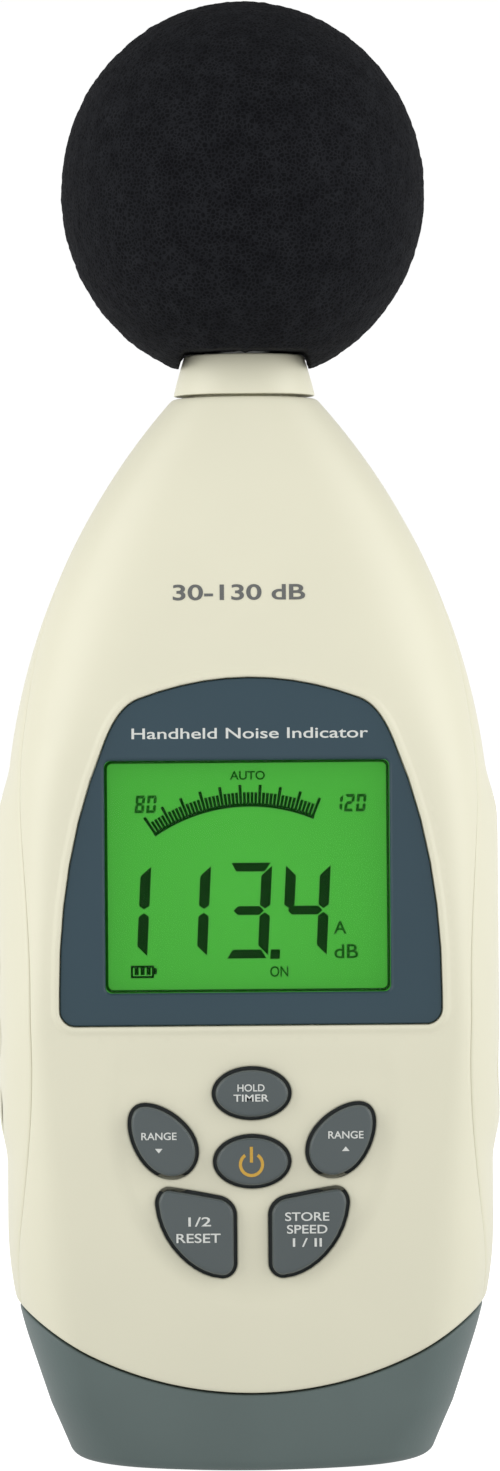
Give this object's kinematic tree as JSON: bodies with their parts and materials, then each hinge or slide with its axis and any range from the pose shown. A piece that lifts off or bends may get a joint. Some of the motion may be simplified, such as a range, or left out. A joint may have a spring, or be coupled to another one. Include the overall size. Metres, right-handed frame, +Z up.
{
  "type": "sound level meter",
  "caption": "Hand-held sound level meter: cream two-shell case with a foam ball windscreen, backlit segment display in a slate bezel, grey keys and a grey foot.",
  "frame": {"origin": "middle of the flat foot that the meter stands on", "axes": "+Z runs up the meter from its foot to its windscreen, -Y is the way the display faces, +X is to the right seen from the front"},
  "size_m": [0.0802, 0.0588, 0.236],
  "materials": {
    "cream_plastic": "satin",
    "grey_plastic": "matte",
    "slate_plastic": "satin",
    "key_plastic": "satin",
    "clear_plastic": "gloss",
    "display_green": "satin",
    "light_guide": "satin",
    "dark_rubber": "matte",
    "circuit_board": "satin",
    "black_plastic": "satin",
    "foam": "matte",
    "steel": "satin",
    "brass": "satin",
    "cell_jacket": "satin"
  },
  "bodies": {
    "root": {"front_cover": "cream_plastic", "rear_cover": "cream_plastic", "base_boot": "grey_plastic", "mic_collar": "cream_plastic", "mic_tube": "steel", "mic_grid": "steel", "mic_capsule": "steel", "preamp_board": "circuit_board", "display_bezel": "slate_plastic", "display_window": "clear_plastic", "lcd_panel": "display_green", "lcd_backlight": "light_guide", "zebra_strip_upper": "dark_rubber", "zebra_strip_lower": "dark_rubber", "main_board": "circuit_board", "board_screw_1": "steel", "board_screw_2": "steel", "board_screw_3": "steel", "board_screw_4": "steel", "case_screw_1": "steel", "case_screw_2": "steel", "case_screw_3": "steel", "case_screw_4": "steel", "switch_max_body": "black_plastic", "switch_power_body": "black_plastic", "switch_level_down_body": "black_plastic", "switch_level_up_body": "black_plastic", "switch_weighting_body": "black_plastic", "switch_record_body": "black_plastic", "battery_tray": "black_plastic", "cell_1": "cell_jacket", "cell_2": "cell_jacket", "cell_3": "cell_jacket", "cell_4": "cell_jacket", "contact_positive": "steel", "contact_negative": "steel", "contact_bridge_1": "steel", "contact_bridge_2": "steel", "contact_bridge_3": "steel", "tripod_insert": "brass", "power_jack": "black_plastic", "output_jack": "black_plastic", "usb_socket": "steel", "cal_trimmer_base": "black_plastic"},
    "key_max": {"key_max": "key_plastic", "switch_max_plunger": "black_plastic"},
    "key_power": {"key_power": "key_plastic", "switch_power_plunger": "black_plastic"},
    "key_level_down": {"key_level_down": "key_plastic", "switch_level_down_plunger": "black_plastic"},
    "key_level_up": {"key_level_up": "key_plastic", "switch_level_up_plunger": "black_plastic"},
    "key_weighting": {"key_weighting": "key_plastic", "switch_weighting_plunger": "black_plastic"},
    "key_record": {"key_record": "key_plastic", "switch_record_plunger": "black_plastic"},
    "battery_door": {"battery_door": "cream_plastic"},
    "windscreen": {"windscreen": "foam"},
    "cal_trimmer_screw": {"cal_trimmer_screw": "brass"}
  },
  "joints": [
    {"name": "key_max_press", "type": "slide", "parent": "root", "child": "key_max", "axis": [0, 1, 0], "range_m": [0, 0.0007], "stiffness_N_per_m": 400, "springref_m": -0.0005},
    {"name": "key_power_press", "type": "slide", "parent": "root", "child": "key_power", "axis": [0, 1, 0], "range_m": [0, 0.0007], "stiffness_N_per_m": 400, "springref_m": -0.0005},
    {"name": "key_level_down_press", "type": "slide", "parent": "root", "child": "key_level_down", "axis": [0, 1, 0], "range_m": [0, 0.0007], "stiffness_N_per_m": 400, "springref_m": -0.0005},
    {"name": "key_level_up_press", "type": "slide", "parent": "root", "child": "key_level_up", "axis": [0, 1, 0], "range_m": [0, 0.0007], "stiffness_N_per_m": 400, "springref_m": -0.0005},
    {"name": "key_weighting_press", "type": "slide", "parent": "root", "child": "key_weighting", "axis": [0, 1, 0], "range_m": [0, 0.0007], "stiffness_N_per_m": 400, "springref_m": -0.0005},
    {"name": "key_record_press", "type": "slide", "parent": "root", "child": "key_record", "axis": [0, 1, 0], "range_m": [0, 0.0007], "stiffness_N_per_m": 400, "springref_m": -0.0005},
    {"name": "windscreen_pull", "type": "slide", "parent": "root", "child": "windscreen", "axis": [0, 0, 1], "range_m": [0, 0.045]},
    {"name": "battery_door_hinge", "type": "hinge", "parent": "root", "child": "battery_door", "pos_m": [0, 0.0178, 0.0322], "axis": [-1, 0, 0], "range_deg": [0, 85]},
    {"name": "cal_trimmer_turn", "type": "hinge", "parent": "root", "child": "cal_trimmer_screw", "pos_m": [-0.036, -0.0036, 0.081], "axis": [-1, 0, 0], "range_deg": [-135, 135]}
  ]
}
